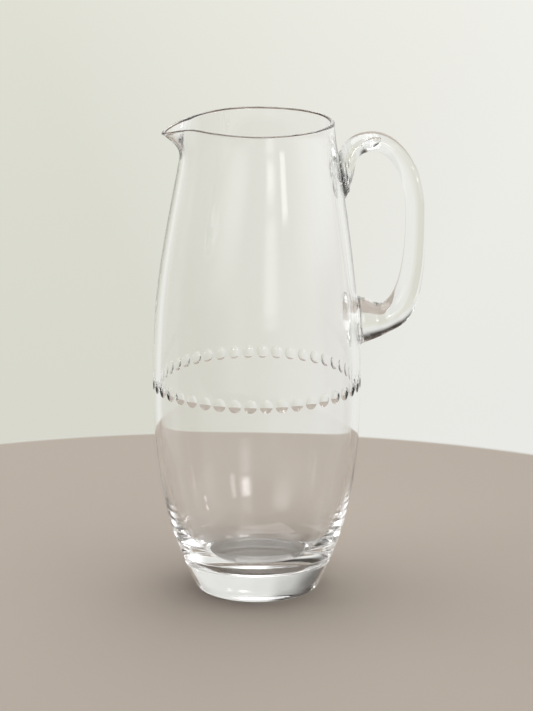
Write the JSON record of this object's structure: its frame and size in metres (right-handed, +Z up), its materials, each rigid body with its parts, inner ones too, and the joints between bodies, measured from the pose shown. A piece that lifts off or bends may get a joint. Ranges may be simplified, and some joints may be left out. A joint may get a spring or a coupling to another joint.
{
  "type": "water pitcher",
  "caption": "Clear crystal water pitcher with a barrel body, heavy solid base, pulled pouring lip, a belt of round lens cuts and an applied solid loop handle.",
  "frame": {"origin": "centre of the flat underside of the base, on the body's axis", "axes": "+Z up the body's axis, +X towards the handle, -X towards the pouring lip"},
  "size_m": [0.1504, 0.1136, 0.261],
  "materials": {
    "body_crystal": "clear colourless crystal, fire polished, with ground and polished lens cuts",
    "handle_crystal": "clear colourless solid crystal, fire polished"
  },
  "bodies": {
    "root": {"glass_body": "body_crystal", "handle": "handle_crystal"}
  },
  "joints": []
}
